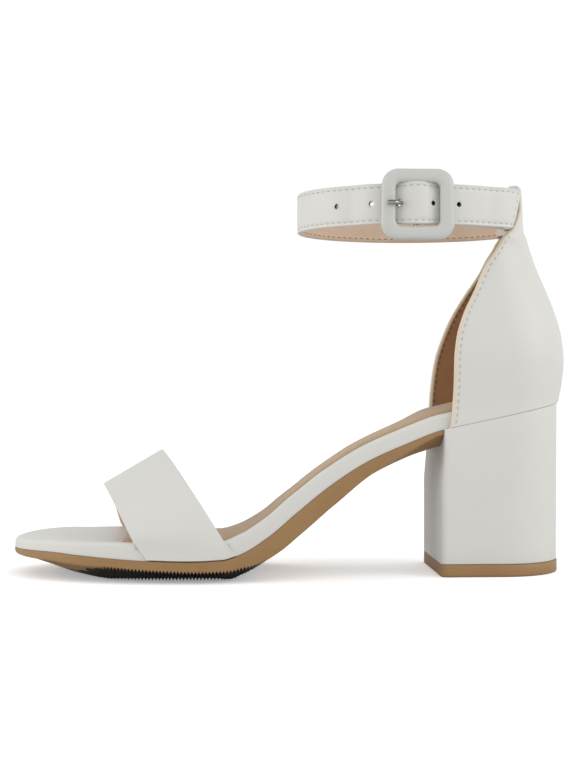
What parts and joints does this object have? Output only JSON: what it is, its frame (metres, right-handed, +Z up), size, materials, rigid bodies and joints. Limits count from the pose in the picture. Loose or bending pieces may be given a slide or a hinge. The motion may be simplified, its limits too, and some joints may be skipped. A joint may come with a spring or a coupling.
{
  "type": "block heel sandal",
  "caption": "Open-toe block heel sandal with a wide toe band, closed heel counter and a buckled ankle strap on a padded leather-covered footbed.",
  "frame": {"origin": "on the floor under the middle of the heel", "axes": "+X from the toe to the heel, +Y towards the inner side of the foot, +Z up"},
  "size_m": [0.2268, 0.0807, 0.1616],
  "materials": {
    "white_leather": "smooth off-white leather with a soft sheen",
    "tan_rubber": "matt tan moulded rubber",
    "beige_lining": "matt beige lining leather over thin foam",
    "nickel": "polished nickel plate"
  },
  "bodies": {
    "root": {"insole_platform": "white_leather", "vamp_strap": "white_leather", "outsole": "tan_rubber", "sock": "beige_lining", "heel_block": "white_leather", "top_lift": "tan_rubber", "heel_counter": "white_leather", "buckle_frame": "white_leather", "buckle_bar": "nickel", "buckle_prong": "nickel", "ankle_strap": "white_leather"}
  },
  "joints": []
}
